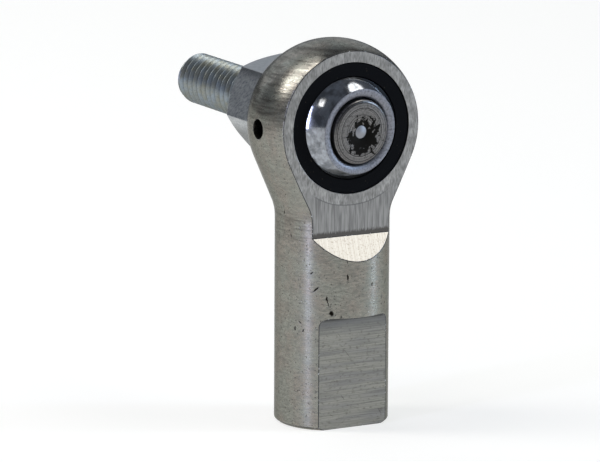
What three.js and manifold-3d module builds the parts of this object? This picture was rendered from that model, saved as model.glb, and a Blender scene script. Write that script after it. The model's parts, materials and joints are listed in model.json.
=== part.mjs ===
// Rod end bearing with a stud: a turned housing, a moulded nylon race, a plated ball and a hexagon stud.
// Millimetres, +Z up. The origin is the middle of the shank's end face, the shank runs up +Z,
// the head's front face looks along -Y and the stud leaves through the back, along +Y.

import * as THREE from 'three';
import { mergeVertices } from 'three/addons/utils/BufferGeometryUtils.js';
import Module from 'manifold-3d';

const wasm = await Module();
wasm.setup();

// Housing: a sphere on a cone on a cylinder, turned from bar
const CENTRE_HEIGHT = 46; // shank end to ball centre
const HEAD_WALL = 3; // steel round the head's bore, at the spherical head's widest
const SHANK_DIAMETER = 17.5;
const NECK_ANGLE = 22.5; // cone's slope from the shank axis, degrees
const NECK_FILLET = 7; // cone into shank
const END_CHAMFER = 0.45;
const FACE_DROP = 16.4; // ball centre down to where the milled faces end
const RUN_OUT_ANGLE = 41; // slope of the cutter's run-out from the shank axis, degrees
const FLATS_ACROSS = 13; // wrench flats
const FLATS_LENGTH = 17.4;
const FLATS_FILLET = 1.3; // cutter's corner radius
const THREAD_DIAMETER = 10; // female thread up the shank
const THREAD_PITCH = 1.5;
const THREAD_DEPTH = 18;
const DRILL_DEPTH = 21;
const DRILL_POINT_ANGLE = 118; // degrees, included
const GATE_DIAMETER = 3; // side hole that the race is injected through

// Race: fills the head's bore and a groove in its wall
const RACE_WALL = 0.475; // between the ball's equator and the head's bore
const GROOVE_DEPTH = 1;
const GROOVE_LIP = 2.4; // bore left plain on each side of the groove
const GROOVE_CHAMFER = 0.5;
const RACE_RECESS = 0.15; // race sits this far under each milled face
const GATE_RECESS = 1; // plug ends this far under the head's surface

// Ball
const BALL_DIAMETER = 19.05;
const BALL_BORE = 10.4;
const BALL_LAND = 1.26; // flat ring from the bore out to the sphere, which sets the ball's width
const BALL_PROUD = 1.3; // ball's ends stand out of the head's faces, which sets the head's width
const BALL_CHAMFER = 0.35;

// Stud: pin, collar, hexagon and thread in one piece
const PIN_PROUD = 0.4; // pin's end stands out of the ball's front face
const PIN_CHAMFER = 0.3;
const COLLAR_STEP = 0.5; // collar's radius over the pin's
const COLLAR_LENGTH = 1.1;
const HEX_ACROSS = 13.5;
const HEX_LENGTH = 10.2;
const HEX_CHAMFER_ANGLE = 35; // slope of the turned chamfer at each end of the hexagon, degrees
const HEX_END_INSET = 0.9; // that chamfer starts this far inside the flats
const STUD_DIAMETER = 8;
const STUD_PITCH = 1.25;
const STUD_LENGTH = 18.6; // hexagon to the end of the thread
const STUD_NECK = 2.2; // left plain next to the hexagon
const STUD_CHAMFER = 0.8;

// How the ball and stud stand in the race at rest, degrees
const SWING = 6.5; // about the shank axis
const NOD = 3.5; // about the head's X axis
const HEX_TURN = 11; // about the stud's own axis

// Clearances, all radial or axial, one side
const MOULD_GAP = 0.2; // race in housing
const BALL_GAP = 0.2; // ball in race
const PIN_GAP = 0.2; // pin in ball
const SEAT_GAP = 0.2; // collar against ball

// Depth of a metric thread as a share of its pitch
const BOLT_DEPTH = 0.6134;
const NUT_DEPTH = 0.5413;

// Fineness
const TURNS = 40; // flats round a turned surface
const THREAD_STEPS = 20; // flats round one thread turn
const PAST = 2; // how far a cutter reaches past what it cuts
const SLIVER = 0.01; // keeps the tap's root inside the drilled wall

const BALL_RADIUS = BALL_DIAMETER / 2;
const BALL_END = Math.sqrt(BALL_RADIUS ** 2 - (BALL_BORE / 2 + BALL_LAND) ** 2);
const BORE_RADIUS = BALL_RADIUS + RACE_WALL;
const HEAD_RADIUS = BORE_RADIUS + HEAD_WALL;
const FACE = BALL_END - BALL_PROUD;
const SHANK_RADIUS = SHANK_DIAMETER / 2;
const PIN_RADIUS = BALL_BORE / 2 - PIN_GAP;

const rad = THREE.MathUtils.degToRad;
const at = (x, y) => new THREE.Vector2(x, y);

// Points on an arc, ends included
function arc(centre, radius, from, to, steps) {
  return Array.from({ length: steps + 1 }, (_, i) => {
    const angle = rad(from + ((to - from) * i) / steps);
    return at(centre.x + radius * Math.cos(angle), centre.y + radius * Math.sin(angle));
  });
}

// A closed geometry as a solid that can be joined and cut
function solid(geometry) {
  geometry.deleteAttribute('normal');
  geometry.deleteAttribute('uv');
  const merged = mergeVertices(geometry, 1e-4);
  const mesh = new wasm.Mesh({
    numProp: 3,
    vertProperties: new Float32Array(merged.attributes.position.array),
    triVerts: new Uint32Array(merged.index.array),
  });
  mesh.merge();
  return new wasm.Manifold(mesh);
}

function geometryOf(body) {
  const mesh = body.getMesh();
  const geometry = new THREE.BufferGeometry();
  geometry.setAttribute('position', new THREE.BufferAttribute(mesh.vertProperties, 3));
  geometry.setIndex(new THREE.BufferAttribute(mesh.triVerts, 1));
  geometry.computeVertexNormals();
  return geometry;
}

// Turned about Y: points hold radius and height, from the lower end to the upper end
const turned = (points, steps = TURNS) => new THREE.LatheGeometry(points, steps);

// Turned about Z
const turnedUp = (points, steps) => turned(points, steps).rotateX(Math.PI / 2);

// A rod along Y between two heights, with a chamfer at each end
function rod(radius, low, high, lowChamfer = 0, highChamfer = 0) {
  const points = [at(0, low), at(radius - lowChamfer, low)];
  if (lowChamfer) points.push(at(radius, low + lowChamfer));
  if (highChamfer) points.push(at(radius, high - highChamfer));
  points.push(at(radius - highChamfer, high), at(0, high));
  return turned(points);
}

// A screw about Z as one helical skin, longer than asked so that its ends can be trimmed flat.
// The V has a flat of an eighth of the pitch on its crest and a quarter in its root.
function screw(rootRadius, crestRadius, pitch, low, high) {
  const rows = [[0, rootRadius], [0.25, rootRadius], [0.5625, crestRadius], [0.6875, crestRadius]];
  const turns = Math.ceil((high - low) / pitch) + 3;
  const start = low - 1.5 * pitch;
  const count = rows.length * turns;
  const vertices = [];
  for (let row = 0; row <= count; row++) {
    const [part, radius] = rows[row % rows.length];
    const height = start + pitch * (Math.floor(row / rows.length) + part);
    for (let step = 0; step < THREAD_STEPS; step++) {
      const turn = step / THREAD_STEPS;
      const angle = 2 * Math.PI * turn;
      vertices.push(radius * Math.cos(angle), radius * Math.sin(angle), height + pitch * turn);
    }
  }
  const top = start + pitch * (turns + 1);
  const bottomPoint = vertices.push(0, 0, start) / 3 - 1;
  const topPoint = vertices.push(0, 0, top) / 3 - 1;
  // the end of a row is the start of the row one turn higher
  const vertex = (row, step) => (step < THREAD_STEPS
    ? row * THREAD_STEPS + step : (row + rows.length) * THREAD_STEPS);
  const triangles = [];
  for (let row = 0; row + rows.length < count; row++) {
    for (let step = 0; step < THREAD_STEPS; step++) {
      const [a, b] = [vertex(row, step), vertex(row, step + 1)];
      const [c, d] = [vertex(row + 1, step), vertex(row + 1, step + 1)];
      triangles.push(a, b, d, a, d, c);
    }
  }
  // each end is a fan to a point on the axis
  const last = count - rows.length;
  for (let step = 0; step < THREAD_STEPS; step++) {
    triangles.push(bottomPoint, vertex(0, step + 1), vertex(0, step));
    triangles.push(topPoint, vertex(last, step), vertex(last, step + 1));
  }
  for (let row = 0; row < rows.length; row++) {
    triangles.push(bottomPoint, vertex(row, 0), vertex(row + 1, 0));
    triangles.push(topPoint, vertex(last + row + 1, 0), vertex(last + row, 0));
  }
  const geometry = new THREE.BufferGeometry();
  geometry.setAttribute('position', new THREE.Float32BufferAttribute(vertices, 3));
  geometry.setIndex(triangles);
  return solid(geometry);
}

// A constant section in Y and Z, cut right across X
function crossCutter(points) {
  const reach = HEAD_RADIUS + SHANK_RADIUS;
  const shape = new THREE.Shape(points);
  const bar = new THREE.ExtrudeGeometry(shape, { depth: 2 * reach, bevelEnabled: false });
  // the shape's x and y become Y and Z
  const turn = new THREE.Matrix4().set(0, 0, 1, -reach, 1, 0, 0, 0, 0, 1, 0, 0, 0, 0, 0, 1);
  return solid(bar.applyMatrix4(turn));
}

// The bar as turned, before milling
function turnedBlank() {
  const slope = rad(NECK_ANGLE);
  const coneTop = at(HEAD_RADIUS * Math.cos(slope), CENTRE_HEIGHT - HEAD_RADIUS * Math.sin(slope));
  const coneFoot = coneTop.y - (coneTop.x - SHANK_RADIUS) / Math.tan(slope);
  const filletFoot = coneFoot - NECK_FILLET * Math.tan(slope / 2);
  return solid(turnedUp([
    at(0, 0),
    at(SHANK_RADIUS - END_CHAMFER, 0),
    at(SHANK_RADIUS, END_CHAMFER),
    ...arc(at(SHANK_RADIUS + NECK_FILLET, filletFoot), NECK_FILLET, 180, 180 - NECK_ANGLE, 4),
    ...arc(at(0, CENTRE_HEIGHT), HEAD_RADIUS, -NECK_ANGLE, 90, 14).slice(0, -1),
    at(0, CENTRE_HEIGHT + HEAD_RADIUS),
  ]));
}

// What the face mill takes off one side of the head, with its sloping run-out
function faceCut(side) {
  const top = CENTRE_HEIGHT + HEAD_RADIUS + PAST;
  const out = HEAD_RADIUS + SHANK_RADIUS;
  const foot = CENTRE_HEIGHT - FACE_DROP;
  const slopedFoot = foot - (out - FACE) / Math.tan(rad(RUN_OUT_ANGLE));
  const section = [at(FACE, foot), at(out, slopedFoot), at(out, top), at(FACE, top)];
  return crossCutter(section.map((point) => at(side * point.x, point.y)));
}

// What the slot mill takes off one side of the shank for a wrench
function flatCut(side) {
  const out = HEAD_RADIUS + SHANK_RADIUS;
  const flat = FLATS_ACROSS / 2;
  const corner = at(flat + FLATS_FILLET, FLATS_LENGTH - FLATS_FILLET);
  const section = [
    at(out, -PAST),
    at(out, FLATS_LENGTH),
    ...arc(corner, FLATS_FILLET, 90, 180, 5),
    at(flat, -PAST),
  ];
  return crossCutter(section.map((point) => at(side * point.x, point.y)));
}

// Outline of the head's bore with its groove, drawn in by a gap, up to a half width
function boreOutline(gap, halfWidth) {
  const radius = BORE_RADIUS - gap;
  const groove = FACE - GROOVE_LIP - gap;
  const half = [
    at(radius + GROOVE_DEPTH, groove - GROOVE_CHAMFER),
    at(radius + GROOVE_DEPTH - GROOVE_CHAMFER, groove),
    at(radius, groove),
    at(radius, halfWidth),
  ];
  return [...half.map((point) => at(point.x, -point.y)).reverse(), ...half];
}

function headBore() {
  const half = FACE + PAST;
  const outline = [at(0, -half), ...boreOutline(0, half), at(0, half)];
  return solid(turned(outline)).translate([0, 0, CENTRE_HEIGHT]);
}

// A round bar along X, out of the head's left side
function gateBar(radius, from, to) {
  const bar = new THREE.CylinderGeometry(radius, radius, to - from, 20);
  bar.rotateZ(Math.PI / 2).translate(-(from + to) / 2, 0, CENTRE_HEIGHT);
  return solid(bar);
}

// The tapped hole up the shank: drill, chamfered mouth and thread
function shankHole() {
  const crest = THREAD_DIAMETER / 2;
  const root = crest - NUT_DEPTH * THREAD_PITCH;
  const mouth = crest + THREAD_PITCH / 4;
  const point = root / Math.tan(rad(DRILL_POINT_ANGLE / 2));
  const drill = solid(turnedUp([
    at(0, -PAST),
    at(root, -PAST),
    at(root, DRILL_DEPTH),
    at(0, DRILL_DEPTH + point),
  ], THREAD_STEPS));
  const countersink = solid(turnedUp([
    at(0, -PAST),
    at(mouth + PAST, -PAST),
    at(root, mouth - root),
    at(0, mouth - root),
  ], TURNS));
  const trim = solid(turnedUp([
    at(0, -PAST / 2),
    at(mouth, -PAST / 2),
    at(mouth, THREAD_DEPTH - mouth + root),
    at(root - THREAD_PITCH / 8, THREAD_DEPTH),
    at(0, THREAD_DEPTH),
  ], TURNS));
  const tap = screw(root - SLIVER, crest, THREAD_PITCH, 0, THREAD_DEPTH);
  return drill.add(countersink).add(tap.intersect(trim));
}

function housing() {
  return turnedBlank()
    .subtract(faceCut(1))
    .subtract(faceCut(-1))
    .subtract(flatCut(1))
    .subtract(flatCut(-1))
    .subtract(headBore())
    .subtract(gateBar(GATE_DIAMETER / 2, BORE_RADIUS, HEAD_RADIUS + PAST))
    .subtract(shankHole());
}

// The nylon: bore outline outside, spherical seat inside, and the plug left in the gate
function race() {
  const half = FACE - RACE_RECESS;
  const seat = BALL_RADIUS + BALL_GAP;
  const opening = THREE.MathUtils.radToDeg(Math.asin(half / seat));
  const outline = [
    ...boreOutline(MOULD_GAP, half),
    ...arc(at(0, 0), seat, opening, -opening, 12),
  ];
  outline.push(outline[0].clone());
  const ring = solid(turned(outline)).translate([0, 0, CENTRE_HEIGHT]);
  const inRing = BORE_RADIUS + GROOVE_DEPTH / 2;
  return ring.add(gateBar(GATE_DIAMETER / 2 - MOULD_GAP, inRing, HEAD_RADIUS - GATE_RECESS));
}

// About Y, with the flat faces square to it
function ball() {
  const edge = THREE.MathUtils.radToDeg(Math.asin(BALL_END / BALL_RADIUS));
  const bore = BALL_BORE / 2;
  const outline = [
    ...arc(at(0, 0), BALL_RADIUS, -edge, edge, 14),
    at(bore + BALL_CHAMFER, BALL_END),
    at(bore, BALL_END - BALL_CHAMFER),
    at(bore, BALL_CHAMFER - BALL_END),
    at(bore + BALL_CHAMFER, -BALL_END),
  ];
  outline.push(outline[0].clone());
  return solid(turned(outline));
}

// Hexagon bar about Y, its corners turned off at both ends
function hexagon(low, high) {
  const corner = HEX_ACROSS / Math.sqrt(3);
  const corners = Array.from({ length: 6 }, (_, i) => {
    const angle = rad(HEX_TURN + 60 * i);
    return at(corner * Math.cos(angle), -corner * Math.sin(angle));
  });
  const bar = new THREE.ExtrudeGeometry(new THREE.Shape(corners.reverse()), {
    depth: high - low,
    bevelEnabled: false,
  });
  bar.rotateX(-Math.PI / 2).translate(0, low, 0);
  const flat = HEX_ACROSS / 2 - HEX_END_INSET;
  const rise = (corner + PAST - flat) * Math.tan(rad(HEX_CHAMFER_ANGLE));
  const chamfers = turned([
    at(0, low),
    at(flat, low),
    at(corner + PAST, low + rise),
    at(corner + PAST, high - rise),
    at(flat, high),
    at(0, high),
  ]);
  return solid(bar).intersect(solid(chamfers));
}

// About Y from the ball's centre: the pin's end is in front and the thread behind
function stud() {
  const pinEnd = -BALL_END - PIN_PROUD;
  const collar = BALL_END + SEAT_GAP;
  const hexLow = collar + COLLAR_LENGTH;
  const hexHigh = hexLow + HEX_LENGTH;
  const end = hexHigh + STUD_LENGTH;
  const crest = STUD_DIAMETER / 2;
  const root = crest - BOLT_DEPTH * STUD_PITCH;
  const threadLow = hexHigh + STUD_NECK;
  const depth = crest - root;
  const thread = screw(root, crest, STUD_PITCH, threadLow, end)
    .rotate([-90, 0, 0])
    .intersect(solid(turned([
      at(0, hexHigh),
      at(root, threadLow - depth),
      at(crest, threadLow),
      at(crest, end - STUD_CHAMFER),
      at(crest - STUD_CHAMFER, end),
      at(0, end),
    ])));
  return solid(rod(PIN_RADIUS, pinEnd, collar + COLLAR_LENGTH / 2, PIN_CHAMFER))
    .add(solid(rod(PIN_RADIUS + COLLAR_STEP, collar, hexLow + HEX_LENGTH / 2)))
    .add(hexagon(hexLow, hexHigh))
    .add(solid(rod(crest, hexHigh - HEX_LENGTH / 2, threadLow, 0, depth)))
    .add(thread);
}

function piece(name, body, colour, roughness, metalness) {
  const material = new THREE.MeshStandardMaterial({ color: colour, roughness, metalness });
  const mesh = new THREE.Mesh(geometryOf(body), material);
  mesh.name = name;
  return mesh;
}

// The ball and stud hang on the ball's centre and turn about it together
const swivel = new THREE.Group();
swivel.position.set(0, 0, CENTRE_HEIGHT);
swivel.rotation.set(rad(NOD), 0, rad(SWING), 'ZXY');
swivel.add(
  piece('ball', ball(), 0xb9bcc0, 0.12, 1),
  piece('stud', stud(), 0x8f9499, 0.4, 1),
);

const group = new THREE.Group();
group.add(
  piece('housing', housing(), 0x9b9a94, 0.35, 1),
  piece('race', race(), 0x141414, 0.55, 0),
  swivel,
);

export default group;
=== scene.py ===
import json
import math

import bmesh
import bpy
from mathutils import Matrix, Vector


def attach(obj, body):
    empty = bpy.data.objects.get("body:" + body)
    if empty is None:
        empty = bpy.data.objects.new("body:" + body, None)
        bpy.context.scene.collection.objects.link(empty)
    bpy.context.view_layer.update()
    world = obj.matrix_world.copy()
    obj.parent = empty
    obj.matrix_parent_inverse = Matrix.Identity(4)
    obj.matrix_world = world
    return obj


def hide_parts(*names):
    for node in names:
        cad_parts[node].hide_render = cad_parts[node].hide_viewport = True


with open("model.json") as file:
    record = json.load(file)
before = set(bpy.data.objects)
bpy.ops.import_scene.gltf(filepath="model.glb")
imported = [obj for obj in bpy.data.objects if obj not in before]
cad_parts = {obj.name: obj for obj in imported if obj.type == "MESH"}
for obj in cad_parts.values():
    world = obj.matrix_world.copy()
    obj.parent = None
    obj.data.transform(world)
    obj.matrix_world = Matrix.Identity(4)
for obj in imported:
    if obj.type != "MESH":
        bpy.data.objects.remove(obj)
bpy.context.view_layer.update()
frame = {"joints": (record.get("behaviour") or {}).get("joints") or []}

# ---------------------------------------------------------------- sizes
# Everything is drawn in millimetres and scaled to metres as it becomes a piece.
MM = 0.001

HEAD_RADIUS = 13.0
FACE = 5.7  # middle of the head to each milled face
BORE_RADIUS = 10.0
GROOVE = (1.0, 2.8, 3.3)  # depth, half width at its floor and at its mouth
SHANK_RADIUS = 8.75
NECK_ANGLE = math.radians(22.5)  # the cone under the head leans this far from upright
NECK_FILLET = 7.0
FACE_DROP = 16.4  # from the ball's centre down to the foot of the milled faces
RUN_OUT = math.radians(41)  # the slope below that foot leans this far from upright
FLATS_HALF = 6.5  # middle of the shank to each wrench flat
FLATS_LENGTH = 17.4  # up from the shank's end
FLATS_FILLET = 1.3
END_CHAMFER = 0.45
END_EASE = 0.25  # the end's chamfer is this much wider than it is high
END_BLEND = 0.05  # and its corner with the shank is eased by this
SOCKET_RADIUS = 5.0
SOCKET_PITCH = 1.5
SOCKET_DEPTH = 18.0
DRILL_DEPTH = 21.0
DRILL_POINT = math.radians(59)  # half the angle of the drill's tip
GATE_RADIUS = 1.5
PLUG_SUNK = 1.6  # from the head's sphere in to the end of the gate plug

RACE_RECESS = 0.15
RACE_FIT = 0.02  # drawn almost touching, as moulded nylon does
BALL_FIT = 0.03

BALL_RADIUS = 9.525
BALL_END = 7.0  # middle of the ball to each flat end
BALL_BORE = 5.2  # its radius

# the ends below are measured along the stud from the middle of the ball
PIN_RADIUS = 5.0
PIN_END = 7.4
COLLAR = (5.5, 7.2, 8.3)  # radius, where it starts and ends along the stud
HEX_ACROSS = 13.5
HEX_END = 18.5
HEX_TURN = math.radians(11)  # a corner stands this far off the stud's own X
HEX_CHAMFER = (0.9, math.radians(35))  # how far inside the flats it starts, and its slope
STUD_RADIUS = 4.0
STUD_PITCH = 1.25
RELIEF = 0.55  # depth of the grooves beside the neck
NECK_END = 20.7  # and the thread starts
STUD_END = 37.1
STUD_CHAMFER = 0.8

BOLT_DEPTH = 0.6134  # thread depth as a share of its pitch
NUT_DEPTH = 0.5413

ROUND = 192  # steps round a turned surface
EDGE = 0.07  # a deburred edge
EDGE_ANGLE = 28  # a corner of more degrees than this is deburred
SHARP_ANGLE = 32  # and one of more than this is shaded sharp
PAST = 2.0  # how far a cutter runs past the steel, and a joined length into the next
HALF_CUTTER = 30.0  # half the length of a cutter that goes right across
SAME_POINT = 1e-5
WELD = 0.012  # after a cut, points nearer than this become one
SLIVER = 0.004  # and faces thinner than this go
NEAR = 0.02  # how exactly a face is matched to the tool that left it


# ---------------------------------------------------------------- shapes
def arc(centre, radius, start, end, steps):
    """Points from one angle to another, in degrees, ends included."""
    turns = [math.radians(start + (end - start) * i / steps) for i in range(steps + 1)]
    return [(centre[0] + radius * math.cos(t), centre[1] + radius * math.sin(t)) for t in turns]


def new_object(name, build):
    mesh = bpy.data.meshes.new(name)
    build.to_mesh(mesh)
    build.free()
    piece = bpy.data.objects.new(name, mesh)
    bpy.context.scene.collection.objects.link(piece)
    return piece


def turned(name, outline, steps=ROUND, closed=False):
    """Revolves (radius, height) points about Z. An open outline starts and ends on the axis."""
    build = bmesh.new()
    rings = []
    for radius, height in outline:
        if radius == 0:
            rings.append([build.verts.new((0, 0, height))] * steps)
        else:
            rings.append([
                build.verts.new((
                    radius * math.cos(2 * math.pi * i / steps),
                    radius * math.sin(2 * math.pi * i / steps),
                    height,
                ))
                for i in range(steps)
            ])
    pairs = list(zip(rings, rings[1:]))
    if closed:
        pairs.append((rings[-1], rings[0]))
    for lower, upper in pairs:
        for i in range(steps):
            j = (i + 1) % steps
            corners = dict.fromkeys([lower[i], lower[j], upper[j], upper[i]])
            if len(corners) > 2:
                build.faces.new(corners)
    bmesh.ops.recalc_face_normals(build, faces=build.faces)
    return new_object(name, build)


def bar(name, section, low, high, matrix=Matrix.Identity(4)):
    """A prism: section points in X and Y, from low to high in Z, then placed."""
    build = bmesh.new()
    ends = [[build.verts.new((x, y, z)) for x, y in section] for z in (low, high)]
    build.faces.new(ends[0])
    build.faces.new(ends[1])
    for i in range(len(section)):
        j = (i + 1) % len(section)
        build.faces.new((ends[0][i], ends[0][j], ends[1][j], ends[1][i]))
    bmesh.ops.recalc_face_normals(build, faces=build.faces)
    build.transform(matrix)
    return new_object(name, build)


def thread(name, crest, root, pitch, low, high, envelope, steps=96):
    """A right-handed screw about Z. Its radius never passes envelope(height)."""
    soft = 0.03 * pitch
    # one pitch of the profile: share of the pitch and radius
    flank = [(0.0, root), (0.1, root), (0.2, root), (0.25, root + soft), (0.54, crest - soft),
             (0.58, crest), (0.67, crest), (0.71, crest - soft), (0.98, root + soft)]
    rows = len(flank)
    turns = math.ceil((high - low) / pitch) + 2
    build = bmesh.new()
    grid = []
    for row in range(rows * turns):
        part, radius = flank[row % rows]
        ring = []
        for step in range(steps + 1):
            share = step / steps
            height = low + pitch * (row // rows - 1 + part + share)
            height = min(max(height, low), high)
            reach = min(radius, envelope(height))
            if height in (low, high):
                reach = envelope(height)
            angle = 2 * math.pi * share
            ring.append(build.verts.new((reach * math.cos(angle), reach * math.sin(angle), height)))
        grid.append(ring)
    for lower, upper in zip(grid, grid[1:]):
        for step in range(steps):
            build.faces.new((lower[step], lower[step + 1], upper[step + 1], upper[step]))
    bmesh.ops.remove_doubles(build, verts=build.verts, dist=SAME_POINT)
    bmesh.ops.dissolve_degenerate(build, dist=SAME_POINT, edges=build.edges)
    rims = [edge for edge in build.edges if edge.is_boundary]
    bmesh.ops.holes_fill(build, edges=rims, sides=0)
    bmesh.ops.recalc_face_normals(build, faces=build.faces)
    return new_object(name, build)


def applied(piece):
    """Turns the piece's modifiers into mesh."""
    bpy.context.view_layer.update()
    graph = bpy.context.evaluated_depsgraph_get()
    mesh = bpy.data.meshes.new_from_object(piece.evaluated_get(graph))
    piece.modifiers.clear()
    piece.data = mesh


def combined(piece, other, operation):
    """Adds, cuts or keeps what is shared with another piece, which is used up."""
    change = piece.modifiers.new(operation, "BOOLEAN")
    change.operation = operation
    change.solver = "EXACT"
    change.object = other
    applied(piece)
    bpy.data.objects.remove(other)


def cut(piece, *cutters):
    for cutter in cutters:
        combined(piece, cutter, "DIFFERENCE")


def softened(piece, width=EDGE, angle=EDGE_ANGLE, material=-1):
    """Breaks the edges as a deburring wheel does, in a material of their own if one is given."""
    build = bmesh.new()
    build.from_mesh(piece.data)
    bmesh.ops.remove_doubles(build, verts=build.verts, dist=WELD)
    bmesh.ops.dissolve_degenerate(build, dist=SLIVER, edges=build.edges)
    build.to_mesh(piece.data)
    build.free()
    bevel = piece.modifiers.new("edge", "BEVEL")
    bevel.width = width
    bevel.segments = 2
    bevel.limit_method = "ANGLE"
    bevel.angle_limit = math.radians(angle)
    bevel.use_clamp_overlap = False
    bevel.miter_outer = "MITER_ARC"
    bevel.material = material
    applied(piece)


def finished(piece, matrix=Matrix.Identity(4)):
    """Smooth faces with sharp edges kept, scaled to metres and put in place."""
    piece.data.transform(Matrix.Scale(MM, 4) @ matrix)
    for face in piece.data.polygons:
        face.use_smooth = True
    piece.data.set_sharp_from_angle(angle=math.radians(SHARP_ANGLE))
    even = piece.modifiers.new("normals", "WEIGHTED_NORMAL")
    even.keep_sharp = True
    applied(piece)
    return piece


# ---------------------------------------------------------------- where the swivel stands
# each IN_ lays Z another way: along the stud, through the head's bore, out of the gate hole.
# ACROSS lays a section's X and Y on the housing's Y and Z, with its length along X.
swing, spin = frame["joints"]
BALL_CENTRE = Vector(swing["pos_m"]) / MM
STUD_AXIS = Vector(spin["axis"]).normalized()
CENTRE_HEIGHT = BALL_CENTRE.z
side = STUD_AXIS.cross(Vector((0, 0, 1))).normalized()
IN_BALL = Matrix((side, -side.cross(STUD_AXIS), STUD_AXIS)).transposed().to_4x4()
IN_BALL.translation = BALL_CENTRE
IN_HEAD = Matrix.Translation(BALL_CENTRE) @ Matrix.Rotation(-math.pi / 2, 4, "X")
IN_GATE = Matrix.Translation(BALL_CENTRE) @ Matrix.Rotation(-math.pi / 2, 4, "Y")
ACROSS = Matrix.Rotation(math.pi / 2, 4, "Z") @ Matrix.Rotation(math.pi / 2, 4, "X")
FACE_FOOT = CENTRE_HEIGHT - FACE_DROP

# places in HOUSING_FINISHES
TURNED, MILLED, SLOPE, FLAT, BROKEN, TAPPED = range(6)


def housing_blank():
    cone_top = (HEAD_RADIUS * math.cos(NECK_ANGLE), CENTRE_HEIGHT - HEAD_RADIUS * math.sin(NECK_ANGLE))
    cone_foot = cone_top[1] - (cone_top[0] - SHANK_RADIUS) / math.tan(NECK_ANGLE)
    fillet_foot = cone_foot - NECK_FILLET * math.tan(NECK_ANGLE / 2)
    end_land = SHANK_RADIUS - END_CHAMFER - END_EASE
    return turned("housing", [
        (0, 0),
        (end_land, 0),
        *arc((end_land, END_CHAMFER), END_CHAMFER, -90, -45, 3)[1:],
        (SHANK_RADIUS - END_BLEND, END_CHAMFER - END_BLEND),
        (SHANK_RADIUS, END_CHAMFER + 2 * END_BLEND),
        *arc((SHANK_RADIUS + NECK_FILLET, fillet_foot), NECK_FILLET, 180,
             180 - math.degrees(NECK_ANGLE), 10),
        *arc((0, CENTRE_HEIGHT), HEAD_RADIUS, -math.degrees(NECK_ANGLE), 90, 60)[:-1],
        (0, CENTRE_HEIGHT + HEAD_RADIUS),
    ])


def face_cutter(way):
    top = CENTRE_HEIGHT + HEAD_RADIUS + PAST
    out = HEAD_RADIUS + SHANK_RADIUS
    sloped = FACE_FOOT - (out - FACE) / math.tan(RUN_OUT)
    section = [(FACE, FACE_FOOT), (out, sloped), (out, top), (FACE, top)]
    return bar("face cutter", [(way * y, z) for y, z in section], -HALF_CUTTER, HALF_CUTTER, ACROSS)


def flat_cutter(way):
    out = HEAD_RADIUS + SHANK_RADIUS
    corner = (FLATS_HALF + FLATS_FILLET, FLATS_LENGTH - FLATS_FILLET)
    section = [(out, -PAST), (out, FLATS_LENGTH), *arc(corner, FLATS_FILLET, 90, 180, 8), (FLATS_HALF, -PAST)]
    return bar("flat cutter", [(way * y, z) for y, z in section], -HALF_CUTTER, HALF_CUTTER, ACROSS)


def bore_cutter():
    depth, floor, mouth = GROOVE
    half = [(BORE_RADIUS + depth, floor), (BORE_RADIUS + depth - (mouth - floor), mouth),
            (BORE_RADIUS, mouth), (BORE_RADIUS, FACE + PAST)]
    outline = [(0, -FACE - PAST), *[(r, -y) for r, y in reversed(half)], *half, (0, FACE + PAST)]
    cutter = turned("bore cutter", outline)
    cutter.data.transform(IN_HEAD)
    return cutter


def gate_cutter():
    circle = arc((0, 0), GATE_RADIUS, 0, 360, 40)[:-1]
    return bar("gate cutter", circle, BORE_RADIUS - 0.5, HEAD_RADIUS + PAST, IN_GATE)


def socket_cutters():
    root = SOCKET_RADIUS - NUT_DEPTH * SOCKET_PITCH
    mouth = SOCKET_RADIUS + SOCKET_PITCH / 4
    within = root - 0.01  # the tap's core, just inside the drilled wall
    tip = DRILL_DEPTH + root / math.tan(DRILL_POINT)
    drill = turned("drill", [(0, -PAST), (root, -PAST), (root, DRILL_DEPTH), (0, tip)], 72)
    sink = turned("countersink", [
        (0, -PAST), (mouth + PAST, -PAST), (root, mouth - root), (0, mouth - root)], 96)

    def envelope(height):
        return min(mouth, max(within, SOCKET_DEPTH - height + within))

    tap = thread("tap", SOCKET_RADIUS, within, SOCKET_PITCH, -0.7, SOCKET_DEPTH, envelope, 72)
    return drill, sink, tap


def in_socket(centre):
    return math.hypot(centre.x, centre.y) < SOCKET_RADIUS + 0.5 and centre.z < DRILL_DEPTH + 4


def cut_of(centre, normal):
    """Which tool left a face of the housing: the place of its finish in HOUSING_FINISHES."""
    x, y, z = centre
    facing = abs(normal.y)  # 1 where a face looks straight forwards or back
    from_axis = math.hypot(x, y)
    from_bore = math.hypot(x, z - CENTRE_HEIGHT)
    from_gate = math.hypot(y, z - CENTRE_HEIGHT)
    in_bore = abs(y) < FACE - NEAR and from_bore < BORE_RADIUS + GROOVE[0] + 0.1
    in_gate = x < -BORE_RADIUS and from_gate < GATE_RADIUS + NEAR
    if in_socket(centre) or in_bore or in_gate:
        return TAPPED
    if facing > 0.98 and abs(abs(y) - FACE) < NEAR and z > FACE_FOOT - 0.2:
        return MILLED
    sloped = abs(facing - math.cos(RUN_OUT)) < NEAR and abs(normal.z - math.sin(RUN_OUT)) < NEAR
    if sloped and z < FACE_FOOT + 0.1:
        return SLOPE
    cut_away = from_axis < SHANK_RADIUS - 0.06 and abs(y) > FLATS_HALF - 0.05
    if cut_away and 0.2 < z < FLATS_LENGTH + 0.05:
        return FLAT
    return TURNED


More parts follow.
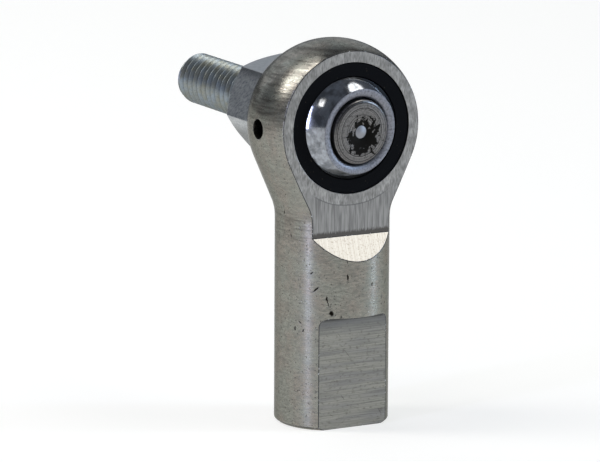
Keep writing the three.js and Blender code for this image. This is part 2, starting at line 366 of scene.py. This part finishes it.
def make_housing():
    piece = housing_blank()
    for finish_of in HOUSING_FINISHES:
        piece.data.materials.append(finish_of())
    cut(piece, face_cutter(1), face_cutter(-1), flat_cutter(1), flat_cutter(-1))
    cut(piece, bore_cutter(), gate_cutter())
    softened(piece, material=BROKEN)
    for face in piece.data.polygons:
        from_bore = math.hypot(face.center.x, face.center.z - CENTRE_HEIGHT)
        if face.material_index != BROKEN:
            face.material_index = cut_of(face.center, face.normal)
        elif from_bore < BORE_RADIUS + 0.2:  # the bore's edge was faced with the head
            face.material_index = MILLED

    # tapped last, so that the thread's edges stay as the tap leaves them
    cut(piece, *socket_cutters())
    for face in piece.data.polygons:
        if in_socket(face.center):
            face.material_index = TAPPED if face.center.z > 0.001 else TURNED
        elif face.center.z < 0.005 and face.normal.z < -0.99:
            face.material_index = TURNED
    return finished(piece)


def make_race():
    depth, floor, mouth = GROOVE
    fit = RACE_FIT
    corner = 0.1
    half = FACE - RACE_RECESS
    seat = BALL_RADIUS + BALL_FIT
    opening = math.degrees(math.asin((half - 0.12) / seat))
    wall = BORE_RADIUS - fit
    outer = [(BORE_RADIUS + depth - fit, floor - fit),
             (BORE_RADIUS + depth - (mouth - floor) - fit, mouth - fit),
             (wall, mouth - fit), (wall, half - corner), (wall - corner, half)]
    inner = arc((0, 0), seat, opening, -opening, 40)
    lip = (seat * math.cos(math.radians(opening)) + 0.02, half)
    outline = [*[(r, -y) for r, y in reversed(outer)], *outer, lip, *inner, (lip[0], -half)]
    ring = turned("race", outline, closed=True)
    ring.data.transform(IN_HEAD)
    plug_radius = GATE_RADIUS - fit
    plug_start = BORE_RADIUS + depth / 2
    plug_end = HEAD_RADIUS - PLUG_SUNK
    plug = turned("plug", [
        (0, plug_start), (plug_radius, plug_start), (plug_radius, plug_end - corner),
        (plug_radius - corner, plug_end), (0.4, plug_end - 0.05), (0, plug_end - 0.25)], 40)
    plug.data.transform(IN_GATE)
    combined(ring, plug, "UNION")
    ring.data.materials.append(nylon())
    return finished(ring)


def make_ball():
    edge = math.degrees(math.asin(BALL_END / BALL_RADIUS)) - 0.6  # the sphere stops short of its corner
    land = 0.06  # the end is dished by this much
    rim = BALL_RADIUS * math.cos(math.radians(edge)) - 0.1
    half = [(rim, BALL_END), (rim - 0.35, BALL_END), (BALL_BORE + 0.4, BALL_END - land),
            (BALL_BORE + 0.1, BALL_END - 0.3), (BALL_BORE, BALL_END - 0.5)]
    outline = [*arc((0, 0), BALL_RADIUS, -edge, edge, 72), *half, *[(r, -z) for r, z in reversed(half)]]
    piece = turned("ball", outline, 256, closed=True)
    piece.data.materials.append(hard_chrome())
    piece.data.materials.append(ball_face())
    for face in piece.data.polygons:
        if abs(face.center.z) > BALL_END - 0.1 or face.center.to_2d().length < BALL_BORE + 0.5:
            face.material_index = 1
    return finished(piece, IN_BALL)


def make_stud():
    radius, collar, hex_low = COLLAR
    root = STUD_RADIUS - BOLT_DEPTH * STUD_PITCH
    corner = HEX_ACROSS / math.sqrt(3)

    # pin: its end is faced, with the small pip that the cut-off tool leaves in a shallow cup
    body = turned("stud", [
        (0, -PIN_END - 0.02),
        (0.35, -PIN_END),
        (0.72, -PIN_END + 0.16),
        (1.0, -PIN_END + 0.24),
        (1.35, -PIN_END + 0.1),
        (3.2, -PIN_END + 0.02),
        (PIN_RADIUS - 0.55, -PIN_END),
        (PIN_RADIUS - 0.3, -PIN_END + 0.05),
        (PIN_RADIUS - 0.08, -PIN_END + 0.25),
        (PIN_RADIUS, -PIN_END + 0.6),
        (PIN_RADIUS, collar + 0.3),
        (radius - 0.15, collar),
        (radius, collar + 0.15),
        (radius, hex_low + PAST),
        (0, hex_low + PAST),
    ], 160)

    angles = [-(HEX_TURN + math.radians(60 * i)) for i in range(6)]
    hexagon = bar("hexagon", [(corner * math.cos(a), corner * math.sin(a)) for a in angles], hex_low, HEX_END)
    inset, slope = HEX_CHAMFER
    flat = HEX_ACROSS / 2 - inset
    rise = (corner + PAST - flat) * math.tan(slope)
    chamfers = turned("chamfers", [
        (0, hex_low), (flat, hex_low), (corner + PAST, hex_low + rise),
        (corner + PAST, HEX_END - rise), (flat, HEX_END), (0, HEX_END),
    ])
    combined(hexagon, chamfers, "INTERSECT")
    softened(hexagon, 0.08, 20)
    combined(body, hexagon, "UNION")

    # a relief groove at each end of the plain neck
    groove = STUD_RADIUS - RELIEF
    neck = turned("neck", [
        (0, HEX_END - PAST),
        (groove, HEX_END - PAST),
        (groove, HEX_END + 0.3),
        (STUD_RADIUS + 0.1, HEX_END + 0.45),
        (STUD_RADIUS + 0.1, NECK_END - 0.85),
        (groove, NECK_END - 0.7),
        (groove, NECK_END - 0.25),
        (root, NECK_END - 0.1),
        (root, NECK_END + 0.3),
        (0, NECK_END + 0.3),
    ], 160)

    def envelope(height):
        lead_in = root + 0.05 + 2 * (height - NECK_END + 0.2)
        return min(STUD_RADIUS, STUD_RADIUS - STUD_CHAMFER + STUD_END - height, lead_in)

    screw = thread("screw", STUD_RADIUS, root, STUD_PITCH, NECK_END - 0.2, STUD_END, envelope)
    combined(neck, screw, "UNION")
    combined(body, neck, "UNION")
    for finish_of in (zinc_plate, zinc_hexagon, pin_end):
        body.data.materials.append(finish_of())
    for face in body.data.polygons:
        x, y, z = face.center
        if z < -PIN_END + 0.7:
            face.material_index = 2
        elif hex_low - 0.01 < z < HEX_END + 0.01 and math.hypot(x, y) > STUD_RADIUS + 0.4:
            face.material_index = 1
    return finished(body, IN_BALL)


# ---------------------------------------------------------------- materials
def colour(code):
    """sRGB hex to linear."""
    values = [int(code[i:i + 2], 16) / 255 for i in (0, 2, 4)]
    return tuple(v / 12.92 if v <= 0.04045 else ((v + 0.055) / 1.055) ** 2.4 for v in values) + (1.0,)


def add(tree, kind, *inputs, out=0, sockets=None, **settings):
    """Adds a node with its settings and links, sockets in order or by name. Gives one output."""
    node = tree.nodes.new("ShaderNode" + kind)
    for key, value in settings.items():
        setattr(node, key, value)
    for socket, value in [*enumerate(inputs), *(sockets or {}).items()]:
        if isinstance(value, bpy.types.NodeSocket):
            tree.links.new(value, node.inputs[socket])
        else:
            node.inputs[socket].default_value = value
    return None if out is None else node.outputs[out]


def start(name, within=None):
    """An empty material and the place on the piece in millimetres, along within's axes if given."""
    material = bpy.data.materials.new(name)
    material.use_nodes = True
    tree = material.node_tree
    tree.nodes.clear()
    place = add(tree, "TexCoord", out="Object")
    place = add(tree, "VectorMath", place, operation="SCALE", sockets={"Scale": 1 / MM})
    if within:
        place = add(tree, "VectorMath", place, within.translation, operation="SUBTRACT")
        place = add(tree, "CombineXYZ", *[
            add(tree, "VectorMath", place, within.col[i].to_3d(), operation="DOT_PRODUCT", out="Value")
            for i in range(3)])
    return material, tree, place


def finish(tree, bump=None, **sockets):
    """Closes a material: bump is (height, strength, millimetres), sockets have _ for a space."""
    named = {key.replace("_", " "): value for key, value in sockets.items()}
    if bump:
        height, strength, depth = bump
        named["Normal"] = add(tree, "Bump", sockets={
            "Height": height, "Strength": strength, "Distance": depth * MM})
    shader = add(tree, "BsdfPrincipled", sockets=named)
    add(tree, "OutputMaterial", shader, out=None)


def grain(tree, place, size, detail=2.0, seed=0.0):
    """A pattern whose features are about size millimetres long each way."""
    laid = add(tree, "Mapping", place, (seed, seed, seed), (0, 0, 0), [1 / length for length in size])
    return add(tree, "TexNoise", sockets={"Vector": laid, "Scale": 1.0, "Detail": detail})


# dents in the shank: degrees round from the front, height, half width, half length, degrees of tilt
SHANK_PITS = (
    (-13.8, 23.8, 0.13, 0.50, 4),
    (-45.6, 21.9, 0.13, 0.62, -48),
    (-34.3, 20.5, 0.14, 0.42, 12),
    (-33.6, 19.9, 0.07, 0.60, 15),
    (-29.7, 18.3, 0.30, 0.42, 20),
    (37.8, 22.3, 0.10, 0.42, -20),
    (14.4, 22.4, 0.10, 0.30, -30),
    (-68.7, 15.6, 0.12, 0.35, 0),
    (-62.6, 16.6, 0.10, 0.30, 50),
    (-59.1, 15.4, 0.10, 0.26, -30),
    (-84.2, 33.1, 0.10, 0.34, -25),
    (-74.7, 29.8, 0.10, 0.30, 15),
    (-49.8, 24.4, 0.10, 0.30, -40),
)
THROAT_HEIGHT = 31.2  # middle of the neck, where the tool's rings show


def turned_steel():
    """Free-cutting steel off the lathe: rings left by the tool, oil stain and a few dents."""
    material, tree, place = start("turned_steel")
    axes = add(tree, "SeparateXYZ", place).node.outputs
    rings = grain(tree, place, (16, 16, 0.16), 3)
    streaks = grain(tree, place, (4, 4, 0.42), 3, 7)
    cloud = grain(tree, place, (2.6, 2.6, 3.4), 4, 3)
    mottle = grain(tree, place, (0.7, 0.7, 0.24), 3, 11)
    fleck = grain(tree, place, (0.32, 0.32, 0.3), 1, 19)

    # the tool left its rings open on the head and in the throat, and smoother on the shank
    on_head = add(tree, "MapRange", axes[2], CENTRE_HEIGHT - 1.5, CENTRE_HEIGHT + 2.5)
    from_throat = add(tree, "Math", axes[2], THROAT_HEIGHT, operation="SUBTRACT")
    from_throat = add(tree, "Math", from_throat, operation="ABSOLUTE")
    in_throat = add(tree, "MapRange", from_throat, 3.2, 1.5, 0, 0.5)
    roughly = add(tree, "Math", add(tree, "Math", on_head, in_throat), 0.22)

    # each dent is an ellipse on the unrolled shank
    turn = add(tree, "Math", axes[1], -1.0, operation="MULTIPLY")
    turn = add(tree, "Math", axes[0], turn, operation="ARCTAN2")
    ragged = add(tree, "MapRange", mottle, 0.0, 1.0, -0.16, 0.16)
    round_shank = add(tree, "Math", turn, SHANK_RADIUS, operation="MULTIPLY")
    unrolled = add(tree, "CombineXYZ", add(tree, "Math", round_shank, ragged), axes[2])
    nearest = 9.0
    for at_turn, height, width, length, tilt in SHANK_PITS:
        laid = add(tree, "Mapping", unrolled, (math.radians(at_turn) * SHANK_RADIUS, height, 0),
                   (0, 0, math.radians(tilt)), (width, length, 1), vector_type="TEXTURE")
        away = add(tree, "VectorMath", laid, operation="LENGTH", out="Value")
        nearest = add(tree, "Math", away, nearest, operation="MINIMUM")
    dent = add(tree, "MapRange", nearest, 1.25, 0.7)
    speck = add(tree, "MapRange", fleck, 0.66, 0.73, 0, 0.6)
    dark = add(tree, "Math", dent, speck, operation="MAXIMUM")

    tone = add(tree, "MixRGB", add(tree, "MapRange", cloud, 0.4, 0.62), colour("92938b"), colour("938e86"))
    tone = add(tree, "MixRGB", add(tree, "MapRange", mottle, 0.42, 0.66, 0, 0.6), tone, colour("777873"))
    lines = add(tree, "MapRange", streaks, 0.42, 0.7)
    lines = add(tree, "Math", lines, roughly, operation="MULTIPLY")
    tone = add(tree, "MixRGB", lines, tone, colour("65635e"))
    tone = add(tree, "MixRGB", dark, tone, colour("1f1c17"))
    depth = add(tree, "Math", add(tree, "Math", rings, streaks), roughly, operation="MULTIPLY")
    depth = add(tree, "Math", depth, add(tree, "Math", dark, -1.5, operation="MULTIPLY"))
    depth = add(tree, "Math", depth, add(tree, "Math", mottle, 0.3, operation="MULTIPLY"))
    rough = add(tree, "MapRange", mottle, 0.3, 0.7, 0.24, 0.34)
    rough = add(tree, "Math", rough, add(tree, "Math", dark, 0.4, operation="MULTIPLY"))
    # rings round the shank spread what they reflect up and down
    along = add(tree, "Tangent", direction_type="RADIAL", axis="Z")
    finish(tree, (depth, 0.5, 0.02), Base_Color=tone, Metallic=1.0, Roughness=rough,
           Specular_Tint=colour("bcbcba"), Anisotropic=0.6, Anisotropic_Rotation=0.25, Tangent=along)
    return material


def milled_face():
    """The head's faces: fine marks of a face mill round the bore, and upright ones in the throat."""
    material, tree, place = start("milled_face")
    centred = add(tree, "VectorMath", place, BALL_CENTRE, operation="SUBTRACT")
    axes = add(tree, "SeparateXYZ", centred).node.outputs
    flat = add(tree, "VectorMath", centred, (1, 0, 1), operation="MULTIPLY")
    radius = add(tree, "VectorMath", flat, operation="LENGTH", out="Value")
    upright = grain(tree, place, (0.22, 4, 3.2), 3)
    fine = grain(tree, place, (0.2, 0.3, 0.9), 3, 5)
    cloud = grain(tree, place, (0.9, 0.9, 1.3), 5, 9)
    wander = add(tree, "MapRange", grain(tree, place, (9, 9, 9), 1, 2), 0, 1, -0.4, 0.4)
    edge = add(tree, "Math", radius, wander)

    # only the part below the bore was cut in two passes
    below = add(tree, "MapRange", axes[2], -9.5, -10.5)
    throat = add(tree, "MapRange", edge, 11.8, 11.95)
    throat = add(tree, "Math", throat, below, operation="MULTIPLY")
    from_seam = add(tree, "Math", edge, 11.85, operation="SUBTRACT")
    from_seam = add(tree, "Math", from_seam, operation="ABSOLUTE")
    seam = add(tree, "MapRange", from_seam, 0.14, 0.03, 0, 0.6)
    seam = add(tree, "Math", seam, below, operation="MULTIPLY")
    # where the cutter dwelt before it ran out
    ragged = add(tree, "Math", axes[2], add(tree, "MapRange", fine, 0.3, 0.7, -0.25, 0.25))
    foot = add(tree, "MapRange", ragged, 0.95 - FACE_DROP, 0.55 - FACE_DROP)

    tone = add(tree, "MixRGB", add(tree, "MapRange", cloud, 0.35, 0.65), colour("aeaead"), colour("8e8e8d"))
    tone = add(tree, "MixRGB", add(tree, "MapRange", fine, 0.42, 0.68, 0, 0.8), tone, colour("696968"))
    worn = add(tree, "MixRGB", add(tree, "MapRange", upright, 0.35, 0.65), colour("9c9c9b"), colour("7a7a7a"))
    tone = add(tree, "MixRGB", throat, tone, worn)
    tone = add(tree, "MixRGB", seam, tone, colour("56575a"))
    tone = add(tree, "MixRGB", foot, tone, colour("5c5a58"))
    depth = add(tree, "Math", fine, add(tree, "Math", upright, throat, operation="MULTIPLY"))
    finish(tree, (depth, 0.4, 0.02), Base_Color=tone, Metallic=1.0, Roughness=0.36)
    return material


def run_out():
    """The bright slope that the face mill leaves as it lifts: freshly cut, marked upwards."""
    material, tree, place = start("run_out")
    across = add(tree, "VectorMath", place, (1, 0, -0.27), operation="DOT_PRODUCT", out="Value")
    marks = grain(tree, add(tree, "CombineXYZ", across), (0.15, 1, 1), 3)
    specks = grain(tree, place, (0.22, 0.22, 0.4), 3, 4)
    tone = add(tree, "MixRGB", add(tree, "MapRange", marks, 0.4, 0.65), colour("b4b3af"), colour("96928a"))
    tone = add(tree, "MixRGB", add(tree, "MapRange", specks, 0.55, 0.68, 0, 0.6), tone, colour("756e63"))
    finish(tree, (marks, 0.35, 0.02), Base_Color=tone, Metallic=1.0, Roughness=0.35)
    return material


def wrench_flat():
    """Side-milled flats: marks across the shank, painted shade in a band up into the cutter's fillet,
    scratches.
    """
    material, tree, place = start("wrench_flat")
    axes = add(tree, "SeparateXYZ", place).node.outputs
    marks = grain(tree, place, (7, 7, 0.14), 4)
    broad = grain(tree, place, (9, 9, 0.9), 3, 6)
    mottle = grain(tree, place, (0.6, 0.6, 0.35), 4, 8)
    slant = add(tree, "Mapping", place, (0, 0, 0), (0, math.radians(38), 0))
    scratch = grain(tree, slant, (0.25, 3, 3.4), 1, 3)
    tone = add(tree, "MixRGB", add(tree, "MapRange", broad, 0.4, 0.62), colour("979790"), colour("8b8b89"))
    tone = add(tree, "MixRGB", add(tree, "MapRange", marks, 0.42, 0.7, 0, 0.75), tone, colour("636361"))
    tone = add(tree, "MixRGB", add(tree, "MapRange", mottle, 0.55, 0.7, 0, 0.6), tone, colour("615f58"))
    tone = add(tree, "MixRGB", add(tree, "MapRange", scratch, 0.73, 0.78, 0, 0.6), tone, colour("454340"))
    # painted shade: darker in a band up into the concave fillet at the top of the flats
    painted_fillet_shade = add(tree, "MapRange", axes[2], FLATS_LENGTH - 2.8, FLATS_LENGTH - 0.9, 0, 0.65)
    tone = add(tree, "MixRGB", painted_fillet_shade, tone, colour("5f6266"))
    depth = add(tree, "Math", marks, add(tree, "Math", mottle, 0.5, operation="MULTIPLY"))
    finish(tree, (depth, 0.45, 0.02), Base_Color=tone, Metallic=1.0, Roughness=0.38)
    return material


def broken_edge():
    """Edges knocked off with a file: dark, with bright nicks."""
    material, tree, place = start("broken_edge")
    nicks = grain(tree, place, (0.3, 0.3, 0.3), 2)
    tone = add(tree, "MixRGB", add(tree, "MapRange", nicks, 0.62, 0.68), colour("424345"), colour("bfc3ca"))
    finish(tree, Base_Color=tone, Metallic=1.0, Roughness=0.35)
    return material


def tapped_steel():
    """Inside the shank and the gate hole: cut steel, darker than the outer surfaces."""
    material, tree, place = start("tapped_steel")
    film = grain(tree, place, (0.8, 0.8, 0.3), 3)
    tone = add(tree, "MixRGB", add(tree, "MapRange", film, 0.35, 0.65), colour("5b5852"), colour("3b3935"))
    finish(tree, Base_Color=tone, Metallic=1.0, Roughness=0.3)
    return material


def nylon():
    """Moulded black nylon: a satin skin with a faint flow and a little grit."""
    material, tree, place = start("nylon")
    skin = grain(tree, place, (0.25, 0.25, 0.25), 3)
    dust = grain(tree, place, (0.3, 0.3, 0.3), 1, 13)
    tone = add(tree, "MixRGB", add(tree, "MapRange", skin, 0.3, 0.7), colour("04060a"), colour("080a0e"))
    tone = add(tree, "MixRGB", add(tree, "MapRange", dust, 0.76, 0.79, 0, 0.5), tone, colour("5e5648"))
    finish(tree, (skin, 0.25, 0.02), Base_Color=tone, Roughness=0.5, IOR=1.53, Specular_IOR_Level=0.05)
    return material


def hard_chrome():
    """The ball's track: ground, plated and polished, with a haze of handling marks."""
    material, tree, place = start("hard_chrome", IN_BALL)
    haze = grain(tree, place, (1.0, 1.0, 0.8), 4)
    rub = grain(tree, place, (2.2, 2.2, 0.16), 2, 5)
    smear = grain(tree, place, (1.6, 1.6, 1.2), 5, 8)
    tone = add(tree, "MixRGB", add(tree, "MapRange", haze, 0.35, 0.7), colour("a4a9b0"), colour("7d8084"))
    tone = add(tree, "MixRGB", add(tree, "MapRange", smear, 0.5, 0.62, 0, 0.6), tone, colour("55585c"))
    rough = add(tree, "MapRange", haze, 0.35, 0.7, 0.08, 0.2)
    depth = add(tree, "Math", haze, add(tree, "Math", rub, 0.3, operation="MULTIPLY"))
    finish(tree, (depth, 0.2, 0.02), Base_Color=tone, Metallic=1.0, Roughness=rough)
    return material


def ball_face():
    """The ball's flat ends: faced and plated, but not polished."""
    material, tree, place = start("ball_face", IN_BALL)
    flat = add(tree, "VectorMath", place, (1, 1, 0), operation="MULTIPLY")
    radius = add(tree, "VectorMath", flat, operation="LENGTH", out="Value")
    rings = grain(tree, add(tree, "CombineXYZ", radius), (0.14, 1, 1), 2)
    mottle = grain(tree, place, (0.35, 0.35, 0.35), 3, 4)
    tone = add(tree, "MixRGB", add(tree, "MapRange", mottle, 0.4, 0.65), colour("8c8e95"), colour("71737a"))
    tone = add(tree, "MixRGB", add(tree, "MapRange", mottle, 0.66, 0.74), tone, colour("3a3a40"))
    depth = add(tree, "Math", rings, mottle)
    finish(tree, (depth, 0.25, 0.02), Base_Color=tone, Metallic=1.0, Roughness=0.5)
    return material


def pin_end():
    """The pin's faced end: coarse rings, a bright pip and burnt grease about it."""
    material, tree, place = start("pin_end", IN_BALL)
    flat = add(tree, "VectorMath", place, (1, 1, 0), operation="MULTIPLY")
    radius = add(tree, "VectorMath", flat, operation="LENGTH", out="Value")
    rings = grain(tree, add(tree, "CombineXYZ", radius), (0.2, 1, 1), 2)
    chatter = grain(tree, place, (0.35, 0.35, 0.35), 3, 2)
    lumps = grain(tree, place, (0.7, 0.7, 0.7), 4, 14)
    tone = add(tree, "MixRGB", add(tree, "MapRange", rings, 0.4, 0.6), colour("807f7e"), colour("454445"))
    tone = add(tree, "MixRGB", add(tree, "MapRange", chatter, 0.5, 0.7, 0, 0.7), tone, colour("343332"))
    # grease sits under the pip and to its right
    offset = add(tree, "VectorMath", flat, (0.45, 0.75, 0), operation="SUBTRACT")
    away = add(tree, "VectorMath", offset, operation="LENGTH", out="Value")
    away = add(tree, "Math", away, add(tree, "MapRange", lumps, 0.3, 0.7, -1.2, 1.2))
    grease = add(tree, "MapRange", away, 2.75, 2.5)
    pip = add(tree, "MapRange", radius, 1.02, 0.92)
    tone = add(tree, "MixRGB", grease, tone, colour("171614"))
    tone = add(tree, "MixRGB", pip, tone, colour("96989d"))
    rough = add(tree, "MapRange", grease, 0, 1, 0.3, 0.55)
    depth = add(tree, "Math", rings, chatter)
    depth = add(tree, "Math", depth, add(tree, "Math", grease, lumps, operation="MULTIPLY"))
    finish(tree, (depth, 0.6, 0.03), Base_Color=tone, Metallic=1.0, Roughness=rough)
    return material


def zinc_plate():
    """Bright zinc over a rolled thread: bluish, a little cloudy, with painted shade in the root and on the
    underside.
    """
    material, tree, place = start("zinc_plate", IN_BALL)
    axes = add(tree, "SeparateXYZ", place).node.outputs
    cloud = grain(tree, place, (1.5, 1.5, 1.5), 4)
    fine = grain(tree, place, (0.25, 0.25, 0.25), 3, 6)
    flat = add(tree, "VectorMath", place, (1, 1, 0), operation="MULTIPLY")
    radius = add(tree, "VectorMath", flat, operation="LENGTH", out="Value")
    tone = add(tree, "MixRGB", add(tree, "MapRange", cloud, 0.38, 0.65), colour("8f999f"), colour("8f9187"))
    tone = add(tree, "MixRGB", add(tree, "MapRange", fine, 0.5, 0.72, 0, 0.4), tone, colour("5f666c"))
    # painted shade: the thread's root is darkened, standing in for the shade down between the flanks
    painted_root_shade = add(tree, "MapRange", radius, STUD_RADIUS - 0.25, STUD_RADIUS - 0.6, 0, 0.55)
    tone = add(tree, "MixRGB", painted_root_shade, tone, colour("2e3336"))
    # painted shade: darker towards the underside
    tone = add(tree, "MixRGB", add(tree, "MapRange", axes[1], 0.5, 3.2, 0, 0.5), tone, colour("565a5b"))
    rough = add(tree, "MapRange", fine, 0.3, 0.7, 0.3, 0.44)
    finish(tree, (fine, 0.15, 0.02), Base_Color=tone, Metallic=1.0, Roughness=rough)
    return material


def zinc_hexagon():
    """Drawn hexagon bar under zinc: a coarse skin scuffed on the slant, with painted shade underneath and on
    the upper flat.
    """
    material, tree, place = start("zinc_hexagon", IN_BALL)
    axes = add(tree, "SeparateXYZ", place).node.outputs
    slant = add(tree, "Mapping", place, (0, 0, 0), (0.6, 0.6, 0.3))
    scuff = grain(tree, slant, (0.3, 0.3, 0.8), 4)
    cloud = grain(tree, place, (1.8, 1.8, 1.8), 3, 5)
    tone = add(tree, "MixRGB", add(tree, "MapRange", cloud, 0.35, 0.65), colour("b8bbbb"), colour("a6aaab"))
    tone = add(tree, "MixRGB", add(tree, "MapRange", scuff, 0.4, 0.7, 0, 0.85), tone, colour("757a7f"))
    # painted shade: darker towards the underside
    tone = add(tree, "MixRGB", add(tree, "MapRange", axes[1], 2.5, 4.5, 0, 0.7), tone, colour("4f514f"))
    # painted shade: the upper flat is darker, standing in for the dark it reflects
    tone = add(tree, "MixRGB", add(tree, "MapRange", axes[1], -4.2, -5.6, 0, 0.75), tone, colour("5b5e60"))
    finish(tree, (scuff, 0.5, 0.02), Base_Color=tone, Metallic=1.0, Roughness=0.36)
    return material


# in the order of TURNED, MILLED, SLOPE, FLAT, BROKEN and TAPPED
HOUSING_FINISHES = (turned_steel, milled_face, run_out, wrench_flat, broken_edge, tapped_steel)


# ---------------------------------------------------------------- camera, light, floor
CAMERA_TURN = math.radians(-29.26)
CAMERA_RISE = math.radians(11.02)
CAMERA_ROLL = math.radians(0.30)
CAMERA_DISTANCE = 0.606  # metres, as the aim is
AIM_RIGHT = -0.004883  # from the ball's centre to the middle of the view
AIM_UP = -0.016440
SENSOR = 36  # millimetres, as LENS is
LENS = 240

FLOOR_RADIUS = 4.0
OVERHEAD = Vector((0.48, -0.31, 0.82))  # the way to the high, round light

# turn from the front towards +X and rise in degrees, distance and size in metres, radiance, tint
SOFTBOXES = {
    "front left": (-57, 44, 0.7, (0.10, 0.16), 4, (1.0, 0.95, 0.88)),
    "high left": (-122, 55, 0.7, (0.16, 0.55), 9.5, (1.0, 0.97, 0.93)),
    "left strip": (-77, 10, 0.7, (0.06, 0.6), 19, (0.66, 0.70, 1.0)),
    "right strip": (62, 10, 0.7, (0.06, 0.6), 22, (0.62, 0.78, 1.0)),
    "behind": (168, 28, 0.9, (1.2, 0.6), 1.0, (0.88, 0.93, 1.0)),
}


def make_camera():
    back = Vector((math.sin(CAMERA_TURN) * math.cos(CAMERA_RISE),
                   -math.cos(CAMERA_TURN) * math.cos(CAMERA_RISE), math.sin(CAMERA_RISE)))
    right = Vector((math.cos(CAMERA_TURN), math.sin(CAMERA_TURN), 0))
    up = back.cross(right)
    data = bpy.data.cameras.new("camera")
    data.sensor_width = SENSOR
    data.lens = LENS
    data.clip_start = 0.01
    camera = bpy.data.objects.new("camera", data)
    rolled_right = math.cos(CAMERA_ROLL) * right + math.sin(CAMERA_ROLL) * up
    rolled_up = -math.sin(CAMERA_ROLL) * right + math.cos(CAMERA_ROLL) * up
    axes = Matrix((rolled_right, rolled_up, back)).transposed().to_4x4()
    axes.translation = BALL_CENTRE * MM + AIM_RIGHT * right + AIM_UP * up + CAMERA_DISTANCE * back
    camera.matrix_world = axes
    bpy.context.scene.collection.objects.link(camera)
    bpy.context.scene.camera = camera


def softbox(name, turn, rise, distance, size, radiance, tint):
    """A rectangular light that faces the ball."""
    data = bpy.data.lights.new(name, "AREA")
    data.shape = "RECTANGLE"
    width, height = size
    data.size, data.size_y = width, height
    data.energy = radiance * math.pi * width * height  # so that radiance holds at any size
    data.color = tint
    lamp = bpy.data.objects.new(name, data)
    turn, rise = math.radians(turn), math.radians(rise)
    way = Vector((math.sin(turn) * math.cos(rise), -math.cos(turn) * math.cos(rise), math.sin(rise)))
    lamp.location = BALL_CENTRE * MM + way * distance
    lamp.rotation_euler = way.to_track_quat("Z", "Y").to_euler()
    bpy.context.scene.collection.objects.link(lamp)


def make_studio():
    build = bmesh.new()
    bmesh.ops.create_circle(build, cap_ends=True, segments=64, radius=FLOOR_RADIUS)
    floor = new_object("floor", build)
    material, tree, _ = start("light_table")
    finish(tree, Base_Color=colour("a8a8a6"), Roughness=0.9, Specular_IOR_Level=0.1,
           Emission_Color=colour("f4f4f2"), Emission_Strength=0.72)
    floor.data.materials.append(material)
    world = bpy.data.worlds.new("studio")
    bpy.context.scene.world = world
    world.use_nodes = True
    world.node_tree.nodes["Background"].inputs[0].default_value = colour("666a72")
    world.node_tree.nodes["Background"].inputs[1].default_value = 1.0

    # the front run-out mirrors this one into the camera
    data = bpy.data.lights.new("overhead", "SUN")
    data.energy = 0.62
    data.angle = math.radians(26)
    data.color = (1.0, 0.97, 0.92)
    overhead = bpy.data.objects.new("overhead", data)
    overhead.rotation_euler = OVERHEAD.to_track_quat("Z", "Y").to_euler()
    bpy.context.scene.collection.objects.link(overhead)
    for name, settings in SOFTBOXES.items():
        softbox(name, *settings)


bpy.context.scene.view_settings.view_transform = "Standard"
make_camera()
make_studio()

for make, name, node, body, slot in (
    (make_housing, "rod_end_body", "housing", "housing", "turned_steel"),
    (make_race, "moulded_race", "race", "housing", "nylon"),
    (make_ball, "plated_ball", "ball", "ball", "plated_ball"),
    (make_stud, "hexagon_stud", "stud", "stud", "zinc_plated_stud"),
):
    piece = make()
    piece.name = name
    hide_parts(node)
    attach(piece, body)
